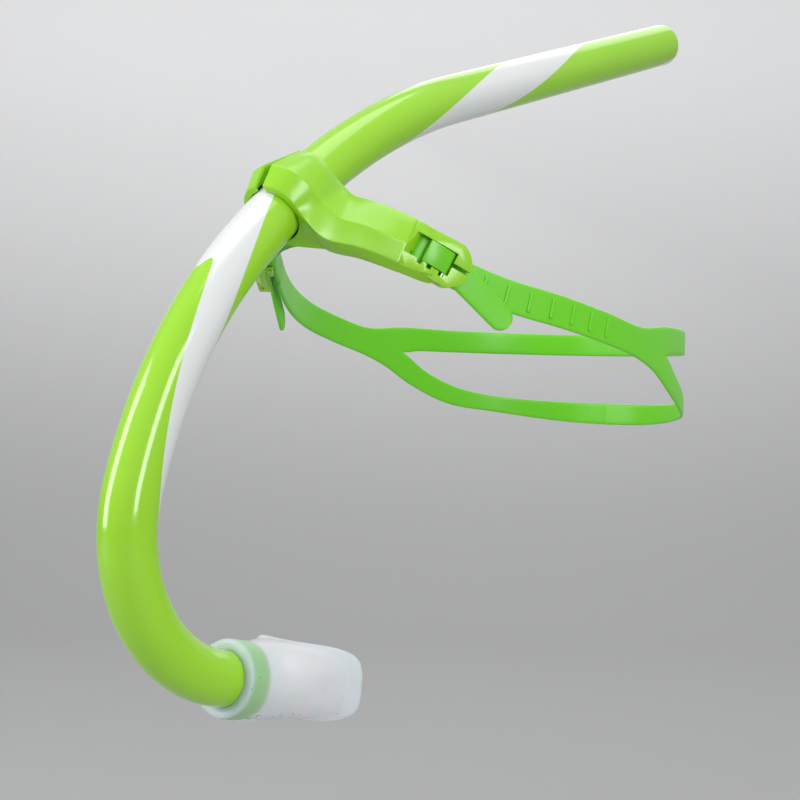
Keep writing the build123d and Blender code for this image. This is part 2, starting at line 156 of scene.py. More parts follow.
# ---- mesh helpers ---------------------------------------------------------------------------------
def grid_faces(rows, columns, wrap_rows=False, wrap_columns=False):
    """Quads over a grid of points; either direction may close on itself."""
    faces = []
    for i in range(rows if wrap_rows else rows - 1):
        for j in range(columns if wrap_columns else columns - 1):
            k, m = (i + 1) % rows, (j + 1) % columns
            faces.append([i * columns + j, i * columns + m, k * columns + m, k * columns + j])
    return faces


def new_piece(name, points, faces, uvs=None):
    """Mesh object from points in millimetres, with smooth faces."""
    mesh = bpy.data.meshes.new(name)
    mesh.from_pydata([tuple(Vector(p) * MM) for p in points], [], faces)
    if uvs:
        layer = mesh.uv_layers.new(name="UVMap")
        for loop, uv in zip(layer.data, uvs):
            loop.uv = uv
    mesh.shade_smooth()
    piece = bpy.data.objects.new(name, mesh)
    bpy.context.scene.collection.objects.link(piece)
    return piece


def outward(piece):
    """Merge doubles, drop slivers and turn every face outwards."""
    work = bmesh.new()
    work.from_mesh(piece.data)
    bmesh.ops.remove_doubles(work, verts=work.verts, dist=1e-6)
    bmesh.ops.dissolve_degenerate(work, edges=work.edges, dist=1e-7)
    bmesh.ops.recalc_face_normals(work, faces=work.faces)
    work.to_mesh(piece.data)
    work.free()
    piece.data.shade_smooth()
    return piece


def copy_node(name, piece_name):
    """Merged copy of a CAD node's mesh as a new piece."""
    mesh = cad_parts[name].data.copy()
    mesh.materials.clear()
    mesh.name = piece_name
    piece = bpy.data.objects.new(piece_name, mesh)
    bpy.context.scene.collection.objects.link(piece)
    work = bmesh.new()
    work.from_mesh(mesh)
    bmesh.ops.remove_doubles(work, verts=work.verts, dist=2e-6)
    bmesh.ops.dissolve_degenerate(work, edges=work.edges, dist=1e-6)
    work.to_mesh(mesh)
    work.free()
    return piece


def bevelled(piece, width, angle=35, segments=2, join_flat=True):
    """Round the sharp edges of a piece for good, with level shading on its flats."""
    if join_flat:
        work = bmesh.new()
        work.from_mesh(piece.data)
        bmesh.ops.dissolve_limit(work, angle_limit=math.radians(1.5), verts=work.verts, edges=work.edges)
        work.to_mesh(piece.data)
        work.free()
    edge = piece.modifiers.new("Edges", "BEVEL")
    edge.width = width * MM
    edge.segments = segments
    edge.limit_method = "ANGLE"
    edge.angle_limit = math.radians(angle)
    edge.use_clamp_overlap = True
    edge.harden_normals = False
    piece.data.shade_smooth()
    apply_modifiers(piece)
    return piece


def apply_modifiers(piece):
    """Turn a piece's modifiers into its mesh."""
    bpy.context.view_layer.update()
    evaluated = piece.evaluated_get(bpy.context.evaluated_depsgraph_get())
    mesh = bpy.data.meshes.new_from_object(evaluated)
    piece.modifiers.clear()
    old = piece.data
    piece.data = mesh
    mesh.name = piece.name
    if not old.users:
        bpy.data.meshes.remove(old)
    return piece


def joined(name, pieces):
    """One mesh from several pieces, which are used up."""
    work = bmesh.new()
    for piece in pieces:
        work.from_mesh(piece.data)
    mesh = bpy.data.meshes.new(name)
    work.to_mesh(mesh)
    work.free()
    mesh.shade_smooth()
    for piece in pieces:
        bpy.data.objects.remove(piece)
    whole = bpy.data.objects.new(name, mesh)
    bpy.context.scene.collection.objects.link(whole)
    return whole


def dress(piece, body, material, replaced=()):
    """Give a piece its material and body, and hide the CAD nodes that it stands for."""
    piece.data.materials.clear()
    piece.data.materials.append(material)
    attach(piece, body)
    if replaced:
        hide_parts(*replaced)
    return piece


# ---- materials ------------------------------------------------------------------------------------
def moulded_skin_group():
    """Fine moulding texture: broad shade changes, a matt or glossy mottle and a low surface height."""
    name = "Moulded Skin"
    if name in bpy.data.node_groups:
        return bpy.data.node_groups[name]
    tree = bpy.data.node_groups.new(name, "ShaderNodeTree")
    for label, kind, default in (
        ("Vector", "NodeSocketVector", None),
        ("Grain Size", "NodeSocketFloat", 900.0),
        ("Roughness", "NodeSocketFloat", 0.3),
        ("Roughness Change", "NodeSocketFloat", 0.08),
        ("Shade Change", "NodeSocketFloat", 0.06),
    ):
        socket = tree.interface.new_socket(label, in_out="INPUT", socket_type=kind)
        if default is not None:
            socket.default_value = default
    for label in ("Shade", "Roughness", "Height"):
        tree.interface.new_socket(label, in_out="OUTPUT", socket_type="NodeSocketFloat")
    links = tree.links
    start = tree.nodes.new("NodeGroupInput")
    end = tree.nodes.new("NodeGroupOutput")
    broad = tree.nodes.new("ShaderNodeTexNoise")
    broad.inputs["Scale"].default_value = 38.0
    broad.inputs["Detail"].default_value = 3.0
    fine = tree.nodes.new("ShaderNodeTexNoise")
    fine.inputs["Detail"].default_value = 4.0
    for noise in (broad, fine):
        links.new(start.outputs["Vector"], noise.inputs["Vector"])
    links.new(start.outputs["Grain Size"], fine.inputs["Scale"])

    def math_node(operation, *values):
        node = tree.nodes.new("ShaderNodeMath")
        node.operation = operation
        for slot, value in zip(node.inputs, values):
            if isinstance(value, bpy.types.NodeSocket):
                links.new(value, slot)
            else:
                slot.default_value = value
        return node.outputs[0]

    centred = math_node("SUBTRACT", broad.outputs["Fac"], 0.5)
    shade = math_node("MULTIPLY_ADD", centred, start.outputs["Shade Change"], 1.0)
    mottle = math_node("ADD", centred, math_node("SUBTRACT", fine.outputs["Fac"], 0.5))
    rough = math_node("MULTIPLY_ADD", mottle, start.outputs["Roughness Change"], start.outputs["Roughness"])
    low_relief = math_node("MULTIPLY", fine.outputs["Fac"], 0.4)
    height = math_node("MULTIPLY_ADD", broad.outputs["Fac"], 0.6, low_relief)
    links.new(shade, end.inputs["Shade"])
    links.new(rough, end.inputs["Roughness"])
    links.new(height, end.inputs["Height"])
    return tree


class MaterialMaker:
    """A named material with its Principled shader and the moulded skin group in place."""

    def __init__(self, name, colour, roughness, grain=900.0, change=0.08, shade=0.06, bump=0.05, depth=0.0002):
        self.material = bpy.data.materials.new(name)
        self.material.use_nodes = True
        self.tree = self.material.node_tree
        self.nodes = self.tree.nodes
        self.links = self.tree.links
        self.shader = self.nodes["Principled BSDF"]
        self.place = self.nodes.new("ShaderNodeTexCoord")
        self.skin = self.nodes.new("ShaderNodeGroup")
        self.skin.node_tree = moulded_skin_group()
        self.skin.inputs["Grain Size"].default_value = grain
        self.skin.inputs["Roughness"].default_value = roughness
        self.skin.inputs["Roughness Change"].default_value = change
        self.skin.inputs["Shade Change"].default_value = shade
        self.links.new(self.place.outputs["Object"], self.skin.inputs["Vector"])
        self.links.new(self.skin.outputs["Roughness"], self.shader.inputs["Roughness"])
        self.bump = self.nodes.new("ShaderNodeBump")
        self.bump.inputs["Strength"].default_value = bump
        self.bump.inputs["Distance"].default_value = depth
        self.links.new(self.skin.outputs["Height"], self.bump.inputs["Height"])
        self.links.new(self.bump.outputs["Normal"], self.shader.inputs["Normal"])
        self.colour(self.rgb(colour))

    def rgb(self, colour):
        node = self.nodes.new("ShaderNodeRGB")
        node.outputs[0].default_value = (*colour, 1.0)
        return node.outputs[0]

    def colour(self, source):
        """Base colour: a source socket darkened and lightened by the skin's shade."""
        mix = self.nodes.new("ShaderNodeVectorMath")
        mix.operation = "SCALE"
        self.links.new(source, mix.inputs[0])
        self.links.new(self.skin.outputs["Shade"], mix.inputs["Scale"])
        self.links.new(mix.outputs["Vector"], self.shader.inputs["Base Color"])

    def value(self, operation, *values, clamp=False):
        node = self.nodes.new("ShaderNodeMath")
        node.operation = operation
        node.use_clamp = clamp
        for slot, value in zip(node.inputs, values):
            if isinstance(value, bpy.types.NodeSocket):
                self.links.new(value, slot)
            else:
                slot.default_value = value
        return node.outputs[0]

    def ramp(self, source, start, end, low, high):
        """Smooth change from low to high as the source goes from start to end."""
        node = self.nodes.new("ShaderNodeMapRange")
        node.interpolation_type = "SMOOTHSTEP"
        for label, value in (("From Min", start), ("From Max", end), ("To Min", low), ("To Max", high)):
            node.inputs[label].default_value = value
        self.links.new(source, node.inputs["Value"])
        return node.outputs["Result"]

    def set(self, **values):
        for label, value in values.items():
            self.shader.inputs[label.replace("_", " ")].default_value = value
        return self


def tube_material(sizes):
    """Glossy two-colour tube: one white stripe winds round the green, once in each pitch of length."""
    made = MaterialMaker("tube_green_white", sizes.tube_green, 0.16, grain=420.0, change=0.04, shade=0.04,
                         bump=0.02)
    uv = made.nodes.new("ShaderNodeUVMap")
    uv.uv_map = "UVMap"
    split = made.nodes.new("ShaderNodeSeparateXYZ")
    made.links.new(uv.outputs["UV"], split.inputs["Vector"])
    around = made.value("MULTIPLY_ADD", split.outputs["X"], -360.0, 180.0)
    along = made.value("MULTIPLY_ADD", split.outputs["Y"], TUBE_END + TUBE_INSERT, -TUBE_INSERT)
    pitch = sizes.stripe_pitch / MM
    wound = made.value("MULTIPLY_ADD", around, -pitch / 360.0, along)
    # the stripe's lower edge lies further up on the side that faces forward below the collar
    rise = made.ramp(around, -105.0, -24.0, 0.0, 27.0)
    fall = made.ramp(around, -24.0, 22.0, 1.0, 0.0)
    low = made.value("LESS_THAN", along, 262.0)
    lift = made.value("MULTIPLY", made.value("MULTIPLY", rise, fall), low)
    phase = made.value("FLOORED_MODULO", made.value("SUBTRACT", wound, sizes.stripe_start / MM), pitch)
    soft = 0.25
    after = made.value("MULTIPLY_ADD", made.value("SUBTRACT", phase, lift), 1 / soft, 0.5, clamp=True)
    left = made.value("SUBTRACT", sizes.stripe_width / MM, phase)
    before = made.value("MULTIPLY_ADD", left, 1 / soft, 0.5, clamp=True)
    white = made.value("MULTIPLY", after, before)
    mix = made.nodes.new("ShaderNodeMix")
    mix.data_type = "RGBA"
    made.links.new(white, mix.inputs["Factor"])
    made.links.new(made.rgb(sizes.tube_green), mix.inputs[6])
    made.links.new(made.rgb(sizes.tube_white), mix.inputs[7])
    made.colour(mix.outputs[2])
    made.set(Coat_Weight=0.35, Coat_Roughness=0.06, Subsurface_Weight=0.06, Subsurface_Scale=0.004)
    return made.material


def bracket_material(sizes):
    made = MaterialMaker("bracket_green", sizes.bracket_green, 0.26, grain=1100.0, change=0.06, shade=0.04,
                         bump=0.02)
    made.set(Subsurface_Weight=0.12, Subsurface_Scale=0.003, Coat_Weight=0.1, Coat_Roughness=0.2)
    return made.material


def lever_material(sizes):
    return MaterialMaker("lever_green", sizes.lever_green, 0.3, grain=1100.0, change=0.08, bump=0.03).set(
        Subsurface_Weight=0.1, Subsurface_Scale=0.002).material


def strap_material(sizes):
    made = MaterialMaker("strap_silicone", sizes.strap_green, 0.4, grain=1300.0, change=0.1, shade=0.07,
                         bump=0.05)
    return made.set(Subsurface_Weight=0.2, Subsurface_Scale=0.003, Sheen_Weight=0.08).material


def ring_material(sizes):
    return MaterialMaker("ring_green", sizes.ring_green, 0.35, grain=1200.0, bump=0.06).set(
        Subsurface_Weight=0.15, Subsurface_Scale=0.002).material


def mouth_material(sizes):
    """Milky silicone, through which the coupling ring shows as a pale green band."""
    made = MaterialMaker("mouth_silicone", sizes.silicone, 0.3, grain=700.0, change=0.1, shade=0.03, bump=0.03)
    split = made.nodes.new("ShaderNodeSeparateXYZ")
    made.links.new(made.place.outputs["Object"], split.inputs["Vector"])
    heading = math.radians(TUBE_HEADING + 180)
    start = (TUBE_START[0] * math.cos(heading) + TUBE_START[1] * math.sin(heading)) * MM
    across = made.value("MULTIPLY", split.outputs["Z"], math.sin(heading))
    along = made.value("MULTIPLY_ADD", split.outputs["Y"], math.cos(heading), across)
    deep = made.value("SUBTRACT", along, start)
    begins = made.ramp(deep, 0.0008, 0.0026, 0.0, 0.75)
    ends = made.ramp(deep, 0.0090, 0.0112, 1.0, 0.0)
    band = made.value("MULTIPLY", begins, ends)
    mix = made.nodes.new("ShaderNodeMix")
    mix.data_type = "RGBA"
    made.links.new(band, mix.inputs["Factor"])
    made.links.new(made.rgb(sizes.silicone), mix.inputs[6])
    made.links.new(made.rgb(sizes.ring_shine), mix.inputs[7])
    made.colour(mix.outputs[2])
    return made.set(Transmission_Weight=sizes.silicone_clearness, IOR=1.24, Subsurface_Weight=0.5,
                    Subsurface_Scale=0.01).material


def pad_material(sizes):
    made = MaterialMaker("pad_silicone", sizes.pad_colour, 0.5, grain=1300.0, change=0.12, shade=0.08,
                         bump=0.15)
    return made.set(Subsurface_Weight=0.2, Subsurface_Scale=0.003).material


def steel_material(sizes):
    made = MaterialMaker("pin_steel", sizes.steel, 0.28, grain=2600.0, change=0.15, shade=0.1, bump=0.1)
    return made.set(Metallic=1.0).material


# ---- user's sizes and colours ---------------------------------------------------------------------
def colour_property(name, description, default):
    return FloatVectorProperty(name=name, description=description, subtype="COLOR", size=3, min=0, max=1,
                               default=default)


def length_property(name, description, default, least=0.0):
    return FloatProperty(name=name, description=description, default=default, min=least, unit="LENGTH")


class SnorkelSizes(bpy.types.PropertyGroup):
    """Sizes and colours that a user would change."""

    tube_green: colour_property("Tube green", "Green of the breathing tube", (0.325, 0.680, 0.024))
    tube_white: colour_property("Tube white", "White of the tube's stripe", (0.76, 0.78, 0.77))
    bracket_green: colour_property("Bracket green", "Green of the head bracket", (0.300, 0.665, 0.020))
    lever_green: colour_property("Lever green", "Green of the buckle levers", (0.150, 0.600, 0.011))
    strap_green: colour_property("Strap green", "Green of the head strap", (0.155, 0.650, 0.010))
    ring_green: colour_property("Ring green", "Green of the coupling ring", (0.420, 0.800, 0.330))
    ring_shine: colour_property("Ring through silicone", "Green of the ring seen through the silicone",
                                (0.46, 0.82, 0.33))
    silicone: colour_property("Mouthpiece silicone", "Tint of the translucent mouthpiece", (0.91, 0.93, 0.98))
    pad_colour: colour_property("Pad silicone", "Colour of the forehead pad", (0.110, 0.460, 0.020))
    steel: colour_property("Pin steel", "Colour of the pins and bars", (0.62, 0.63, 0.64))
    silicone_clearness: FloatProperty(name="Clearness", description="How clear the mouthpiece is", default=0.5,
                                      min=0, max=1)
    stripe_pitch: length_property("Stripe pitch", "Tube length in which the stripe winds round once", 0.225, 0.05)
    stripe_width: length_property("Stripe width", "Length of the stripe along the tube", 0.072, 0.01)
    stripe_start: length_property("Stripe start", "Where the stripe's lower edge crosses the tube's front", 0.166)
    edge_round: length_property("Edge round", "Rounding of moulded edges", 0.00035, 0.0001)
    rib_pitch: length_property("Rib pitch", "Distance between the strap's raised ribs", 0.0097, 0.002)
    rib_length: length_property("Rib length", "Length of a rib across the strap", 0.0082, 0.001)
    rib_width: length_property("Rib width", "Width of a rib along the strap", 0.0017, 0.0002)
    rib_height: length_property("Rib height", "How far a rib stands up", 0.00055, 0.0001)
    tube_sides: IntProperty(name="Tube sides", description="Faces round the tube", default=96, min=24, max=128)


def sizes():
    """The sizes and colours in use."""
    return bpy.context.scene.snorkel_sizes


# ---- breathing tube ---------------------------------------------------------------------------------
class SNORKEL_OT_tube(bpy.types.Operator):
    """Make the two-colour breathing tube and finish its coupling ring"""

    bl_idname = "snorkel.tube"
    bl_label = "Breathing tube"

    def execute(self, context):
        own = sizes()
        sides = own.tube_sides
        bend_step, straight_step = 2.2, 6.0
        rim_start = TUBE_END - TUBE_RIM
        steps = []
        along = -TUBE_INSERT
        while along < rim_start:
            steps.append(along)
            along += bend_step if along < TUBE_END - TUBE_TOP else straight_step
        turns = [math.radians(turned) for turned in range(0, 91, 18)]
        rings = [(a, TUBE_OUTER) for a in steps]
        rings += [(rim_start + TUBE_RIM * math.sin(t), TUBE_OUTER - TUBE_RIM * (1 - math.cos(t))) for t in turns]
        rings += [(rim_start + TUBE_RIM * math.cos(t), TUBE_BORE + TUBE_RIM * (1 - math.sin(t))) for t in turns]
        rings += [(a, TUBE_BORE) for a in reversed(steps)]
        points, around = [], [2 * math.pi * j / sides - math.pi for j in range(sides)]
        for a, r in rings:
            points += [tube_point(a, r, t) for t in around]
        faces = grid_faces(len(rings), sides, wrap_rows=True, wrap_columns=True)
        uvs = []
        length = TUBE_END + TUBE_INSERT
        for i in range(len(rings)):
            low, high = rings[i][0], rings[(i + 1) % len(rings)][0]
            for j in range(sides):
                for ring, column in ((low, j), (low, j + 1), (high, j + 1), (high, j)):
                    uvs.append((column / sides, (ring + TUBE_INSERT) / length))
        tube = new_piece("breathing_tube", points, faces, uvs)
        outside = tube.data.polygons[len(faces) // 8]
        if outside.normal.dot(outside.center / MM - nearest_centre(outside.center / MM)) < 0:
            tube.data.flip_normals()
        dress(tube, "tube", tube_material(own),
              ["tube", "tube_head_bend", "tube_face_bend", "tube_mouth_bend"])
        finish_node(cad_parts["coupling_ring"], ring_material(own))
        return {"FINISHED"}


def nearest_centre(place):
    """Point of the tube's centre line nearest to a place."""
    centres = [tube_point(along, 0, 0) for along in range(-int(TUBE_INSERT), int(TUBE_END))]
    return min(centres, key=lambda centre: (centre - place).length)


def finish_node(node, material):
    """Give a CAD node that stays visible its material."""
    node.data.materials.clear()
    node.data.materials.append(material)


# ---- mouthpiece -----------------------------------------------------------------------------------
FLANGE_DEPTH, FLANGE_RISE, FLANGE_TILT, FLANGE_RADIUS = 34.0, 1.9, 8.3, 42.0
FLANGE_HALF = (28.4, 14.5)
BODY_HALF = (25.0, 14.2)
PASSAGE_HALF = (13.0, 6.5)
SLEEVE, SLEEVE_LENGTH, NECK, GROOVE = 14.7, 10.9, 10.55, 13.25


def mouth_point(x, up, deep, bend):
    """Point in the mouthpiece: across, up and deep from the lip; bend 0 follows the tube, 1 the flange."""
    heading = math.radians(TUBE_HEADING + 180 + FLANGE_TILT * bend)
    base = math.radians(TUBE_HEADING + 180)
    deep_base = min(deep, FLANGE_DEPTH)
    y = TUBE_START[0] + deep_base * math.cos(base) - FLANGE_RISE * bend * math.sin(base)
    z = TUBE_START[1] + deep_base * math.sin(base) + FLANGE_RISE * bend * math.cos(base)
    over = deep - deep_base
    y += over * math.cos(heading) - up * math.sin(heading)
    z += over * math.sin(heading) + up * math.cos(heading)
    return Vector((x, y, z))


def oval(half_x, half_y, power, turned):
    """Point round an oval, which grows squarer with its power."""
    c, s = math.cos(turned), math.sin(turned)
    return (half_x * math.copysign(abs(c) ** (2 / power), c), half_y * math.copysign(abs(s) ** (2 / power), s))


class SNORKEL_OT_mouthpiece(bpy.types.Operator):
    """Make the silicone mouthpiece with its flange, passage and bite tabs"""

    bl_idname = "snorkel.mouthpiece"
    bl_label = "Mouthpiece"

    def execute(self, context):
        sides = 128
        fx, fy = FLANGE_HALF
        bx, by = BODY_HALF
        px, py = PASSAGE_HALF
        # each ring: half width, half height, power of the oval, depth, share of the flange's curve
        rings = [(NECK, NECK, 2, 0.5, 0), (NECK + 0.25, NECK + 0.25, 2, 0.0, 0),
                 (SLEEVE - 0.8, SLEEVE - 0.8, 2, 0.0, 0), (SLEEVE - 0.25, SLEEVE - 0.25, 2, 0.2, 0),
                 (SLEEVE, SLEEVE, 2, 0.9, 0)]
        rings += [(SLEEVE, SLEEVE, 2, 0.9 + step * 2.0, 0) for step in range(1, 6)]
        for step in range(1, 13):
            share = step / 12
            ease = smoothstep(share)
            rings.append((SLEEVE + (bx - SLEEVE) * share ** 1.3, SLEEVE - (SLEEVE - by) * ease,
                          2 + 1.0 * ease, SLEEVE_LENGTH + share * (FLANGE_DEPTH - 12.5), ease))
        # the flange's back, rim and tooth side: width, height, power, depth past the flange's back
        for width, height, power, past in (
            (bx + 0.8, by + 0.1, 3.2, -0.6),
            (fx - 1.6, fy - 0.12, 3.9, -0.2),
            (fx - 0.5, fy - 0.05, 4.2, 0.15),
            (fx - 0.1, fy, 4.3, 0.7),
            (fx - 0.1, fy, 4.3, 1.3),
            (fx - 0.5, fy - 0.4, 4.2, 1.8),
            (fx - 1.6, fy - 1.4, 3.6, 2),
            (fx - 5, fy - 3.6, 3.0, 2),
            (px + 2.2, py + 1.6, 2.2, 2),
            (px + 0.8, py + 0.5, 2.1, 1.6),
            (px, py, 2, 0.4),
        ):
            rings.append((width, height, power, FLANGE_DEPTH + past, 1))
        for step in range(1, 9):
            share = 1 - step / 8
            ease = smoothstep(share)
            rings.append((TUBE_BORE + (px - TUBE_BORE) * ease, TUBE_BORE + (py - TUBE_BORE) * ease, 2,
                          11.4 + share * (FLANGE_DEPTH - 11.0), ease))
        # the seat of the tube and the groove of the coupling ring
        rings += [(radius, radius, 2, deep, 0)
                  for radius, deep in ((NECK, 11.3), (NECK, 9.7), (GROOVE, 9.6), (GROOVE, 1.6), (NECK, 1.5))]
        points = []
        for half_x, half_y, power, deep, bend in rings:
            for j in range(sides):
                x, up = oval(half_x, half_y, power, 2 * math.pi * j / sides)
                curve = bend * (FLANGE_RADIUS - math.sqrt(FLANGE_RADIUS ** 2 - x * x))
                follow = 1 if deep > FLANGE_DEPTH - 3 else bend * 0.5
                points.append(mouth_point(x, up, deep + curve * follow, bend))
        faces = grid_faces(len(rings), sides, wrap_rows=True, wrap_columns=True)
        body = outward(new_piece("mouthpiece_body", points, faces))
        tabs = []
        tab_sides = 32
        for side in (-1, 1):
            # each ring of a bite tab: middle, half width, half height, depth past the flange
            profile = [(17.0, 1.0, 3.6, 3.0), (17.0, 1.1, 4.0, 5.0), (16.9, 1.1, 4.0, 9.0),
                       (16.7, 1.2, 4.1, 12.6), (16.4, 2.0, 4.7, 13.6), (16.2, 2.3, 5.0, 14.6),
                       (16.1, 2.1, 4.8, 15.6), (16.1, 1.3, 4.0, 16.2)]
            tab_points = []
            for middle, half_x, half_y, deep in profile:
                for j in range(tab_sides):
                    x, up = oval(half_x, half_y, 3, 2 * math.pi * j / tab_sides)
                    tab_points.append(mouth_point(side * (middle + x), up, FLANGE_DEPTH + deep, 1))
            faces = grid_faces(len(profile), tab_sides, wrap_columns=True)
            last = (len(profile) - 1) * tab_sides
            faces += [list(range(tab_sides - 1, -1, -1)), list(range(last, last + tab_sides))]
            tabs.append(outward(new_piece("bite_tab", tab_points, faces)))
        whole = joined("mouthpiece_silicone", [body] + tabs)
        dress(whole, "mouthpiece", mouth_material(sizes()), ["mouthpiece"])
        return {"FINISHED"}


# ---- head bracket ---------------------------------------------------------------------------------
# lengths along the head bend and outside radii of the collar at its lower edge, ridge and upper edge
COLLAR_LOW, COLLAR_RIDGE, COLLAR_HIGH = HEAD_BEND + 24.0, HEAD_BEND + 32.7, HEAD_BEND + 50.0
LIP_R, RIDGE_R, RIM_R = 13.4, 16.9, 12.3
BORE_R = 10.9
SKIN_THICK, CORE_SINK, SKIN_END = 1.2, 0.55, -14.2


def skin_stations():
    """Upper rim, crease, lip and lower edge of the bracket's outer skin, from the notch to the buckle."""
    stations = [[tube_point(COLLAR_HIGH, RIM_R, math.radians(1)),
                 tube_point(COLLAR_RIDGE, RIDGE_R, math.radians(8)),
                 tube_point(COLLAR_LOW, LIP_R - 0.1, math.radians(9.5)),
                 tube_point(COLLAR_LOW, BORE_R, math.radians(12))]]
    for around in (30, 50, 68, 84):
        t = math.radians(around)
        stations.append([tube_point(COLLAR_HIGH, RIM_R, t), tube_point(COLLAR_RIDGE, RIDGE_R, t),
                         tube_point(COLLAR_LOW, LIP_R, t), tube_point(COLLAR_LOW, BORE_R, t)])
    # along the wing each point is a plan angle, a distance from the plan centre and a height
    for wing in (
        ((15, 48.3, 17.0), (15, 67.3, 9.0), (12.5, 73.9, 1.4), (11, 65.0, -4.0)),
        ((20, 48.8, 13.6), (20, 64.4, 3.6), (17, 69.6, -4.8), (15, 61.8, -8.6)),
        ((27, 50.2, 11.9), (27, 61.8, 1.4), (26, 64.2, -7.2), (26, 58.7, -11.4)),
        ((36, 52.2, 9.1), (35, 60.4, -2.0), (34, 61.4, -10.0), (34, 57.4, -14.0)),
        ((48, 54.3, 4.4), (43.4, 59.4, -5.3), (40.5, 60.1, -12.8), (40.5, 56.6, -16.2)),
    ):
        stations.append([band_point(*place) for place in wing])
    return stations


def rounded_profile(corners, radii):
    """Points down a profile through corners, with its inner corners rounded."""
    line = [corners[0]]
    for i in range(1, len(corners) - 1):
        before, here, after = corners[i - 1], corners[i], corners[i + 1]
        start = here + (before - here).normalized() * min(radii[i - 1], (before - here).length * 0.45)
        end = here + (after - here).normalized() * min(radii[i - 1], (after - here).length * 0.45)
        last = line[-1]
        line += [last.lerp(start, share) for share in (0.33, 0.66)]
        for t in (0.0, 0.25, 0.5, 0.75, 1.0):
            line.append(start * (1 - t) ** 2 + here * (2 * t * (1 - t)) + end * t * t)
    line += [line[-1].lerp(corners[-1], share) for share in (0.33, 0.66, 1.0)]
    return line


class SNORKEL_OT_bracket(bpy.types.Operator):
    """Make the head bracket: split collar, creased wings and buckle bodies in one moulding"""

    bl_idname = "snorkel.bracket"
    bl_label = "Head bracket"

    def execute(self, context):
        stations = skin_stations()
        lines = [spline([station[row] for station in stations], 9) for row in range(4)]
        rows = [rounded_profile([line[i] for line in lines], (0.55, 0.5)) for i in range(len(lines[0]))]
        columns = len(rows[0])
        head_middle = Vector((0, 0.02, -0.02))
        pieces = []
        for side in (1, -1):
            points = [Vector((side * p.x, p.y, p.z)) for row in rows for p in row]
            faces = grid_faces(len(rows), columns)
            if side > 0:
                faces = [face[::-1] for face in faces]
            skin = new_piece("bracket_skin", points, faces)
            middle = skin.data.polygons[len(faces) // 2]
            if middle.normal.dot(middle.center - head_middle) < 0:
                skin.data.flip_normals()
            wall = skin.modifiers.new("Wall", "SOLIDIFY")
            wall.thickness = SKIN_THICK * MM
            wall.offset = -1
            wall.use_even_offset = False
            apply_modifiers(skin)
            pieces.append(bevelled(skin, 0.25, angle=50, join_flat=False))
        core = copy_node("head_bracket", "bracket_core")
        work = bmesh.new()
        work.from_mesh(core.data)
        work.normal_update()
        # the core draws back under the skin, up to the buckles
        moves = []
        for vert in work.verts:
            place = Vector((abs(vert.co.x), vert.co.y, vert.co.z)) / MM - B_ORIGIN
            if place.dot(B_ALONG) < SKIN_END:
                moves.append((vert, vert.normal * (CORE_SINK * MM)))
        for vert, move in moves:
            vert.co -= move
        work.to_mesh(core.data)
        work.free()
        pieces.append(bevelled(core, sizes().edge_round / MM, angle=38))
        whole = joined("bracket_moulding", pieces)
        dress(whole, "bracket", bracket_material(sizes()), ["head_bracket"])
        return {"FINISHED"}


# ---- forehead pad, levers and pins ------------------------------------------------------------------
class SNORKEL_OT_pad(bpy.types.Operator):
    """Make the soft forehead pad behind the bracket"""

    bl_idname = "snorkel.pad"
    bl_label = "Forehead pad"

    def execute(self, context):
        pad = copy_node("forehead_pad", "forehead_pad_soft")
        grown = pad.modifiers.new("Even", "REMESH")
        grown.mode = "VOXEL"
        grown.voxel_size = 0.8 * MM
        soft = pad.modifiers.new("Soft", "SMOOTH")
        soft.factor = 0.6
        soft.iterations = 8
        apply_modifiers(pad)
        pad.data.shade_smooth()
        dress(pad, "bracket", pad_material(sizes()), ["forehead_pad"])
        return {"FINISHED"}


class SNORKEL_OT_levers(bpy.types.Operator):
    """Make the buckle levers with rounded edges and finish their pins and the strap bars"""

    bl_idname = "snorkel.levers"
    bl_label = "Buckle levers"

    def execute(self, context):
        own = sizes()
        green, steel = lever_material(own), steel_material(own)
        for side in ("left", "right"):
            lever = copy_node("buckle_lever_" + side, "lever_" + side)
            bevelled(lever, 0.3, angle=35, segments=3)
            dress(lever, "lever_" + side, green, ["buckle_lever_" + side])
            for pin in ("lever_pin_", "strap_bar_"):
                finish_node(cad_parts[pin + side], steel)
        return {"FINISHED"}


# ---- head strap -------------------------------------------------------------------------------------
STRAP_THICK, STRAP_WIDTH, TAIL_LENGTH, TAIL_WIDTH, TAIL_TURN = 1.6, 13.0, 34.0, 10.5, -14.0
BAR = (-7.6, -0.9)
BAR_R, BAR_GAP = 0.9, 0.15
LAYER = BAR_R + BAR_GAP + STRAP_THICK / 2
RIB_START, RIB_SPANS = 18.6, 6.3
# share across the strap, and share of its full thickness there
EDGE_SHARES = (0.0, 0.025, 0.07, 0.16, 0.33, 0.5, 0.67, 0.84, 0.93, 0.975, 1.0)
EDGE_THICK = (0.30, 0.68, 0.9, 1.0, 1.0, 1.0, 1.0, 1.0, 0.9, 0.68, 0.30)


def strap_plan():
    """Plan points of the left half, from the buckle to the back of the head."""
    leave = buckle_point(2.0, 0, BAR[1] - LAYER)
    away = leave + B_LEVEL * 8
    round_head = ((68.4, 70), (74.2, 95), (75.5, 120), (73.0, 150), (66.0, 176), (54.5, 196), (38.0, 211),
                  (19.5, 219.4), (0, 222))
    points = [leave, leave + B_LEVEL * 4, away, away + B_LEVEL * 9] + [Vector((x, y, 0)) for x, y in round_head]
    for p in points:
        p.z = 0
    return spline(points, 24)


def profile_line(knots):
    """Dense smooth line through (y, z) knots."""
    return spline([Vector((0, y, z)) for y, z in knots], 40)


def profile_height(line, y):
    """Height of a dense profile line at a place along y."""
    if y <= line[0].y:
        return line[0].z
    for a, b in zip(line, line[1:]):
        if y <= b.y:
            return a.z + (b.z - a.z) * (y - a.y) / max(b.y - a.y, 1e-6)
    return line[-1].z


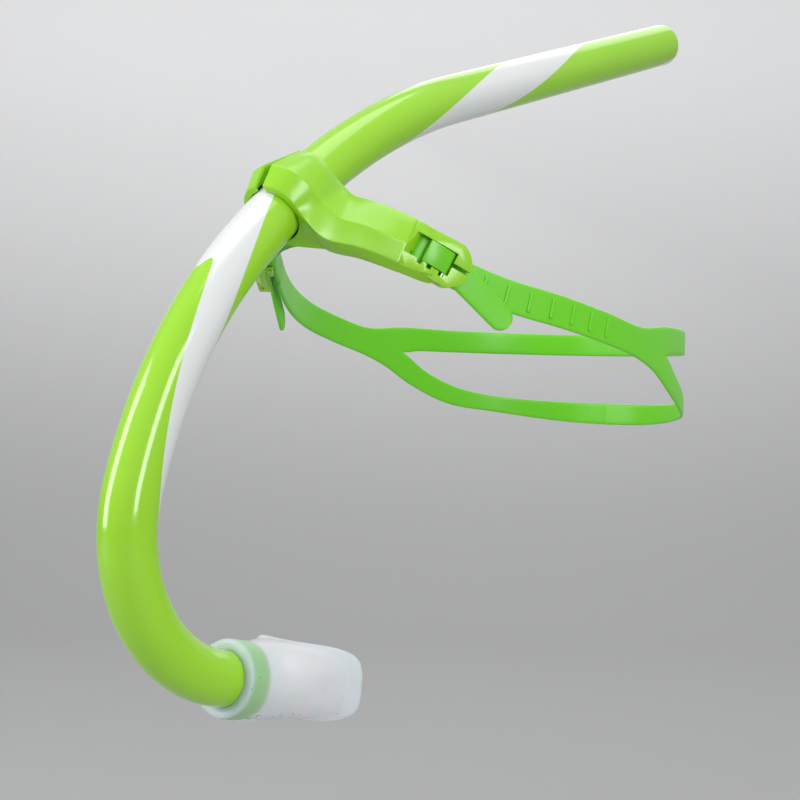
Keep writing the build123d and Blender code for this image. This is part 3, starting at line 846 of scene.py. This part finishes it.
def strip(points, outs, thick, shares=None, opened=None, inner_column=None):
    """Soft-edged band: rows of points across, each with its outward direction.

    With a list of openings, the wall at the inner column is left out where the band isn't open yet.
    """
    columns = len(points[0])
    rows = len(points)
    size = rows * columns
    shares = shares or [EDGE_THICK] * rows
    outer, inner = [[p + n * (face * thick / 2 * t[j]) for row, n, t in zip(points, outs, shares)
                     for j, p in enumerate(row)] for face in (1, -1)]
    faces = grid_faces(rows, columns)
    faces += [[k + size for k in face][::-1] for face in faces]
    for i in range(rows - 1):
        for j in (0, columns - 1):
            if opened and j == inner_column and not (opened[i] or opened[i + 1]):
                continue
            a, b = i * columns + j, (i + 1) * columns + j
            faces.append([a, b, b + size, a + size] if j == 0 else [b, a, a + size, b + size])
    for i in (0, rows - 1):
        for j in range(columns - 1):
            a, b = i * columns + j, i * columns + j + 1
            faces.append([b, a, a + size, b + size] if i == 0 else [a, b, b + size, a + size])
    piece = new_piece("strap_part", outer + inner, faces)
    return piece if opened else outward(piece)


def merged(piece):
    """Join a piece's coincident points and turn its faces outward."""
    work = bmesh.new()
    work.from_mesh(piece.data)
    bmesh.ops.remove_doubles(work, verts=work.verts, dist=1e-6)
    open_edges = sum(1 for edge in work.edges if len(edge.link_faces) != 2)
    work.to_mesh(piece.data)
    work.free()
    if open_edges:
        raise RuntimeError("a merged piece has open edges: " + str(open_edges))
    return outward(piece)


def strap_rib_tree():
    """Raised ribs set along a line on the strap's outer face."""
    tree = bpy.data.node_groups.new("Strap Ribs", "GeometryNodeTree")
    tree.interface.new_socket("Geometry", in_out="INPUT", socket_type="NodeSocketGeometry")
    for label, default in (("Pitch", 0.0086), ("Length", 0.0082), ("Width", 0.0013), ("Height", 0.0004)):
        socket = tree.interface.new_socket(label, in_out="INPUT", socket_type="NodeSocketFloat")
        socket.default_value = default
    tree.interface.new_socket("Material", in_out="INPUT", socket_type="NodeSocketMaterial")
    tree.interface.new_socket("Geometry", in_out="OUTPUT", socket_type="NodeSocketGeometry")
    start, end, line, along, tangent, keep, bar, soft, size, place, smooth, points, cross, turn, real, paint, sunk = [
        tree.nodes.new(kind) for kind in (
            "NodeGroupInput", "NodeGroupOutput", "GeometryNodeMeshToCurve", "GeometryNodeResampleCurve",
            "GeometryNodeInputTangent", "GeometryNodeCaptureAttribute", "GeometryNodeMeshCube",
            "GeometryNodeSubdivisionSurface", "ShaderNodeCombineXYZ", "GeometryNodeTransform",
            "GeometryNodeSetShadeSmooth", "GeometryNodeInstanceOnPoints", "ShaderNodeVectorMath",
            "FunctionNodeAxesToRotation", "GeometryNodeRealizeInstances", "GeometryNodeSetMaterial",
            "ShaderNodeMath")]
    along.mode = "LENGTH"
    keep.capture_items.new("VECTOR", "Tangent")
    bar.inputs["Size"].default_value = (1, 1, 1)
    for label, count in (("Vertices X", 3), ("Vertices Y", 6), ("Vertices Z", 3)):
        bar.inputs[label].default_value = count
    soft.inputs["Level"].default_value = 2
    cross.operation = "CROSS_PRODUCT"
    cross.inputs[1].default_value = (0, 0, 1)
    turn.primary_axis = "X"
    turn.secondary_axis = "Z"
    # half of the bar is sunk in the strap and softening lowers it, so it is taller than the rib
    sunk.operation = "MULTIPLY"
    sunk.inputs[1].default_value = 2.6
    for source, output, target, entry in (
        (start, "Geometry", line, "Mesh"),
        (line, "Curve", along, "Curve"),
        (start, "Pitch", along, "Length"),
        (along, "Curve", keep, "Geometry"),
        (tangent, "Tangent", keep, "Tangent"),
        (start, "Width", size, "X"),
        (start, "Length", size, "Y"),
        (start, "Height", sunk, 0),
        (sunk, 0, size, "Z"),
        (bar, "Mesh", soft, "Mesh"),
        (soft, "Mesh", place, "Geometry"),
        (size, "Vector", place, "Scale"),
        (place, "Geometry", smooth, "Geometry"),
        (keep, "Geometry", points, "Points"),
        (smooth, "Geometry", points, "Instance"),
        (keep, "Tangent", cross, 0),
        (keep, "Tangent", turn, "Primary Axis"),
        (cross, "Vector", turn, "Secondary Axis"),
        (turn, "Rotation", points, "Rotation"),
        (points, "Instances", real, "Geometry"),
        (real, "Geometry", paint, "Geometry"),
        (start, "Material", paint, "Material"),
        (paint, "Geometry", end, "Geometry"),
    ):
        tree.links.new(source.outputs[output], target.inputs[entry])
    return tree


class SNORKEL_OT_strap(bpy.types.Operator):
    """Make the head strap with its two rear branches, tails and raised ribs"""

    bl_idname = "snorkel.strap"
    bl_label = "Head strap"

    def execute(self, context):
        own = sizes()
        material = strap_material(own)
        plan = strap_plan()
        half = STRAP_WIDTH / 2
        start_z = buckle_point(2.0, 0, 0).z - 1.6
        y0 = plan[0].y
        top = profile_line(((y0, start_z + half), (46, -22.2 + half), (70, -28.3 + half), (96, -33.6 + 6.0),
                            (122, -32.4), (146, -31.3), (176, -31.9), (222, -32.6)))
        low = profile_line(((y0, start_z - half), (46, -22.2 - half), (70, -28.3 - half), (96, -34.2 - 6.2),
                            (118, -45.4), (134, -50.8), (152, -60.0), (176, -69.5), (200, -73.5), (222, -78)))
        crotch = 145.0
        gap_top = profile_line(((crotch, -43.6), (156, -43.0), (176, -43.0), (222, -43.3)))
        gap_low = profile_line(((crotch, -43.6), (153, -48.0), (164, -54.4), (182, -61.6), (202, -65.6),
                                (222, -67.6)))
        upper_rows, lower_rows = [], []
        middle = len(EDGE_SHARES) // 2
        for i, p in enumerate(plan):
            ahead = plan[min(i + 1, len(plan) - 1)] - plan[max(i - 1, 0)]
            out = Vector((ahead.y, -ahead.x, 0)).normalized() if i < len(plan) - 1 else Vector((0, 1, 0))
            upper, lower = profile_height(top, p.y), profile_height(low, p.y)
            opened = min(1.0, math.sqrt(max(0.0, p.y - crotch) / 10.0))
            if opened:
                above, below = profile_height(gap_top, p.y), profile_height(gap_low, p.y)
                centre = (above + below) / 2
                above, below = centre + (above - centre) * opened, centre + (below - centre) * opened
            else:
                above = below = lower + (upper - lower) * 0.45
            near_gap = [1 + (t - 1) * opened for t in EDGE_THICK]
            upper_rows.append(([Vector((p.x, p.y, above + (upper - above) * s)) for s in EDGE_SHARES], out,
                               near_gap[:middle] + list(EDGE_THICK[middle:]), opened))
            lower_rows.append(([Vector((p.x, p.y, lower + (below - lower) * s)) for s in EDGE_SHARES], out,
                               list(EDGE_THICK[:middle]) + near_gap[middle:], opened))
        halves = []
        for rows, inner_column in ((upper_rows, 0), (lower_rows, len(EDGE_SHARES) - 1)):
            other = [([Vector((-q.x, q.y, q.z)) for q in row], Vector((-out.x, out.y, 0)), t, opened)
                     for row, out, t, opened in rows[-2::-1]]
            points, outs, shares, opened = zip(*(rows + other))
            halves.append(strip(points, outs, STRAP_THICK, shares, opened, inner_column))
        band = joined("strap_band", halves)
        merged(band)
        parts = [band]
        for side in (1, -1):
            parts += [self.buckle_loop(side), self.tail(side)]
        strap = joined("head_strap_band", parts)
        dress(strap, "bracket", material, ["head_strap"])
        self.ribs(own, plan, top, low, material)
        return {"FINISHED"}

    def buckle_loop(self, side):
        """The layers that lie in the buckle and the turn round the bar."""
        path = [(8.0 - step * 2.6, BAR[1] - LAYER) for step in range(6)]
        path += [(BAR[0] - LAYER * math.sin(t), BAR[1] - LAYER * math.cos(t))
                 for t in [math.pi * k / 12 for k in range(13)]]
        path += [(BAR[0] + 2.0 + step * 3.0, BAR[1] + LAYER) for step in range(6)]
        rows, outs = [], []
        for i, (u, w) in enumerate(path):
            before, after = path[max(i - 1, 0)], path[min(i + 1, len(path) - 1)]
            along = B_ALONG * (after[0] - before[0]) + B_OUT * (after[1] - before[1])
            out = along.cross(B_ACROSS).normalized()
            half = STRAP_WIDTH / 2 - 0.3
            row = [buckle_point(u, -half + 2 * half * s, w) for s in EDGE_SHARES]
            rows.append([Vector((side * p.x, p.y, p.z)) for p in row])
            outs.append(Vector((side * out.x, out.y, out.z)))
        return strip(rows, outs, STRAP_THICK - 0.1)

    def tail(self, side):
        """The strap's free end, with its rounded tip."""
        turned = math.radians(TAIL_TURN)
        along = B_ALONG * math.cos(turned) + B_ACROSS * math.sin(turned)
        across = B_ACROSS * math.cos(turned) - B_ALONG * math.sin(turned)
        start = buckle_point(6.0, 0, BAR[1] + LAYER)
        radius = TAIL_WIDTH / 2
        stops = [k * 2.4 for k in range(12)]
        stops += [TAIL_LENGTH - radius + radius * math.sin(math.radians(a)) for a in range(0, 90, 9)]
        stops.append(TAIL_LENGTH - 0.02)
        rows = []
        for stop in stops:
            over = max(0.0, stop - (TAIL_LENGTH - radius))
            half = math.sqrt(max(radius ** 2 - over ** 2, 0.09))
            dip = 0.9 * smoothstep((stop - 8) / 26)
            row = [start + along * stop + across * (-half + 2 * half * s) - B_OUT * dip for s in EDGE_SHARES]
            rows.append([Vector((side * p.x, p.y, p.z)) for p in row])
        out = Vector((side * B_OUT.x, B_OUT.y, B_OUT.z))
        return strip(rows, [out] * len(rows), STRAP_THICK)

    def ribs(self, own, plan, top, low, material):
        """Seven raised ribs on each side of the strap."""
        pieces = []
        for side in (1, -1):
            line = []
            walked = 0.0
            for i, p in enumerate(plan[:-1]):
                walked += (p - plan[i - 1]).length if i else 0.0
                if RIB_START < walked < RIB_START + RIB_SPANS * own.rib_pitch / MM:
                    ahead = plan[i + 1] - plan[i - 1]
                    out = Vector((ahead.y, -ahead.x, 0)).normalized()
                    z = (profile_height(top, p.y) + profile_height(low, p.y)) / 2
                    spot = p + out * (STRAP_THICK / 2)
                    line.append(Vector((side * spot.x, spot.y, z)))
            if side < 0:
                line.reverse()
            mesh = bpy.data.meshes.new("rib_line")
            mesh.from_pydata([tuple(p * MM) for p in line], [(i, i + 1) for i in range(len(line) - 1)], [])
            piece = bpy.data.objects.new("strap_ribs_" + ("left" if side > 0 else "right"), mesh)
            bpy.context.scene.collection.objects.link(piece)
            tree = bpy.data.node_groups.get("Strap Ribs") or strap_rib_tree()
            made = piece.modifiers.new("Ribs", "NODES")
            made.node_group = tree
            values = {"Pitch": own.rib_pitch, "Length": own.rib_length, "Width": own.rib_width,
                      "Height": own.rib_height, "Material": material}
            for item in tree.interface.items_tree:
                if item.item_type == "SOCKET" and item.in_out == "INPUT" and item.name in values:
                    made[item.identifier] = values[item.name]
            apply_modifiers(piece)
            if not piece.data.polygons:
                raise RuntimeError("the strap's ribs came out empty")
            pieces.append(piece)
        for piece in pieces:
            dress(piece, "bracket", material)


# ---- stage ----------------------------------------------------------------------------------------
class SNORKEL_OT_stage(bpy.types.Operator):
    """Set up the pale floor, the soft lights and the camera"""

    bl_idname = "snorkel.stage"
    bl_label = "Stage"

    def execute(self, context):
        scene = context.scene
        lens = bpy.data.cameras.new("Camera")
        lens.lens = 66.15
        lens.sensor_width = 36.0
        lens.clip_end = 20.0
        camera = bpy.data.objects.new("Camera", lens)
        right = Vector((0.77647, 0.62973, 0.02296)).normalized()
        back = Vector((0.62946, -0.77681, 0.01861)).normalized()
        up = back.cross(right).normalized()
        right = up.cross(back).normalized()
        turned = Matrix((right, up, back)).transposed().to_4x4()
        camera.matrix_world = Matrix.Translation((0.3883, -0.425, -0.054)) @ turned
        scene.collection.objects.link(camera)
        scene.camera = camera
        self.floor()
        target = Vector((0, 0.03, -0.03))
        for name, place, size, power in (
            ("Window Light", (-0.80, -0.95, 0.30), (0.45, 1.0), 10.0),
            ("Right Light", (1.30, -0.45, 0.35), (0.35, 0.9), 9.0),
            ("Top Light", (0.05, 0.0, 1.30), (1.1, 1.1), 7.0),
            ("Back Fill", (-0.4, 1.1, 0.7), (0.9, 0.9), 2.5),
        ):
            light = bpy.data.lights.new(name, "AREA")
            light.shape = "RECTANGLE"
            light.size, light.size_y = size
            light.energy = power
            lamp = bpy.data.objects.new(name, light)
            lamp.location = place
            lamp.rotation_euler = (target - Vector(place)).to_track_quat("-Z", "Y").to_euler()
            scene.collection.objects.link(lamp)
        world = bpy.data.worlds.new("Studio")
        scene.world = world
        world.use_nodes = True
        nodes, links = world.node_tree.nodes, world.node_tree.links
        nodes["Background"].inputs["Strength"].default_value = 0.72
        spot = nodes.new("ShaderNodeTexCoord")
        split = nodes.new("ShaderNodeSeparateXYZ")
        fade = nodes.new("ShaderNodeMapRange")
        fade.inputs["From Min"].default_value = -0.6
        fade.inputs["From Max"].default_value = 0.5
        sky = nodes.new("ShaderNodeMix")
        sky.data_type = "RGBA"
        sky.inputs[6].default_value = (0.13, 0.13, 0.135, 1)
        sky.inputs[7].default_value = (0.86, 0.87, 0.89, 1)
        links.new(spot.outputs["Generated"], split.inputs["Vector"])
        links.new(split.outputs["Z"], fade.inputs["Value"])
        links.new(fade.outputs["Result"], sky.inputs["Factor"])
        links.new(sky.outputs[2], nodes["Background"].inputs["Color"])
        scene.view_settings.view_transform = "Standard"
        return {"FINISHED"}

    def floor(self):
        """Pale floor that sweeps up into a wall behind the snorkel, its colour painted with shade that darkens it
        towards the floor.
        """
        low = cad_box[0][2] - 0.14
        away = Vector((-0.62946, 0.77681, 0))
        side = Vector((0.77681, 0.62946, 0))
        line = [(-3.0, 0.0)] + [(0.9 + 0.6 * math.sin(t), 0.6 - 0.6 * math.cos(t))
                                for t in [math.pi / 2 * k / 16 for k in range(17)]] + [(1.5, 3.5)]
        points = []
        for reach, height in line:
            for width in (-4, 4):
                place = away * reach + side * width
                points.append(Vector((place.x, place.y, low + height)) / MM)
        sweep = new_piece("studio_floor", points, grid_faces(len(line), 2))
        made = MaterialMaker("studio_paper", (0.66, 0.66, 0.68), 0.8, grain=60.0, change=0.05, shade=0.02,
                             bump=0.02)
        split = made.nodes.new("ShaderNodeSeparateXYZ")
        made.links.new(made.place.outputs["Object"], split.inputs["Vector"])
        # painted shade: the paper's grey darkens towards the floor and lightens up the wall, standing in for how the
        # light falls off
        fade = made.ramp(split.outputs["Z"], low, low + 0.8, 0.36, 0.95)
        painted_shade_colour = made.nodes.new("ShaderNodeCombineColor")
        for label in ("Red", "Green", "Blue"):
            made.links.new(fade, painted_shade_colour.inputs[label])
        made.colour(painted_shade_colour.outputs["Color"])
        sweep.data.materials.append(made.material)


class SNORKEL_PT_panel(bpy.types.Panel):
    """Sidebar panel that lists the snorkel's pieces"""

    bl_label = "Snorkel"
    bl_idname = "SNORKEL_PT_panel"
    bl_space_type = "VIEW_3D"
    bl_region_type = "UI"
    bl_category = "Snorkel"

    def draw(self, context):
        layout = self.layout
        for name in SnorkelSizes.__annotations__:
            layout.prop(context.scene.snorkel_sizes, name)
        for step in PIECES:
            layout.operator(step.bl_idname)


PIECES = (SNORKEL_OT_stage, SNORKEL_OT_tube, SNORKEL_OT_mouthpiece, SNORKEL_OT_bracket, SNORKEL_OT_pad,
          SNORKEL_OT_levers, SNORKEL_OT_strap)


def register():
    for item in (SnorkelSizes, *PIECES, SNORKEL_PT_panel):
        bpy.utils.register_class(item)
    bpy.types.Scene.snorkel_sizes = PointerProperty(type=SnorkelSizes)


def unregister():
    del bpy.types.Scene.snorkel_sizes
    for item in reversed((SnorkelSizes, *PIECES, SNORKEL_PT_panel)):
        bpy.utils.unregister_class(item)


def main():
    register()
    for step in PIECES:
        group, name = step.bl_idname.split(".")
        getattr(getattr(bpy.ops, group), name)()
    bpy.context.view_layer.update()


if __name__ == "__main__":
    main()
